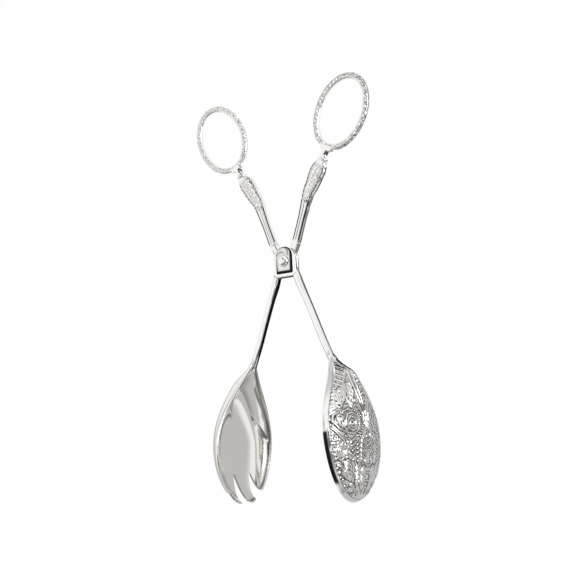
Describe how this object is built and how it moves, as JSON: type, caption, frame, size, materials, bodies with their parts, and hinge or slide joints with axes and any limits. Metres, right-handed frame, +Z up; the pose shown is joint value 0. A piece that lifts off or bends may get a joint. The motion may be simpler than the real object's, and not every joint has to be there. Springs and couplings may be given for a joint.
{
  "type": "salad servers",
  "caption": "Scissor-action salad servers: an embossed spoon and a fork with open finger rings cross on a riveted lap joint and close to grip food.",
  "frame": {"origin": "middle of the lying part's bounding box, on the table it lies on", "axes": "+Z up from the table, +Y towards the finger rings, -Y towards the bowls, +X the spoon's side, -X the fork's side; the part lies on the far ends of its rings and the lower edges of its bowls"},
  "size_m": [0.1328, 0.2626, 0.061],
  "materials": {
    "ring_plate": "cast and silver plated, bright over an all-over chased pattern",
    "collar_plate": "silver plated, mirror polished",
    "handle_plate": "cast and silver plated, bright with an embossed panel",
    "shank_plate": "silver plated, mirror polished",
    "bowl_plate": "silver plated, mirror polished, the spoon's back embossed",
    "pivot_plating": "silver plated, mirror polished",
    "washer_steel": "plain bright steel"
  },
  "bodies": {
    "spoon_arm": {"spoon_arm_ring": "ring_plate", "spoon_arm_collar": "collar_plate", "spoon_arm_handle": "handle_plate", "spoon_arm_shank": "shank_plate", "spoon_bowl": "bowl_plate", "pivot_plate": "pivot_plating", "pivot_rivet": "pivot_plating", "pivot_washer": "washer_steel"},
    "fork_arm": {"fork_arm_ring": "ring_plate", "fork_arm_collar": "collar_plate", "fork_arm_handle": "handle_plate", "fork_arm_shank": "shank_plate", "fork_bowl": "bowl_plate"}
  },
  "joints": [
    {"name": "pivot", "type": "hinge", "parent": "spoon_arm", "child": "fork_arm", "pos_m": [0, 0.01886, 0.01597], "axis": [0, 0.1272, 0.9919], "range_deg": [-10, 28]}
  ]
}
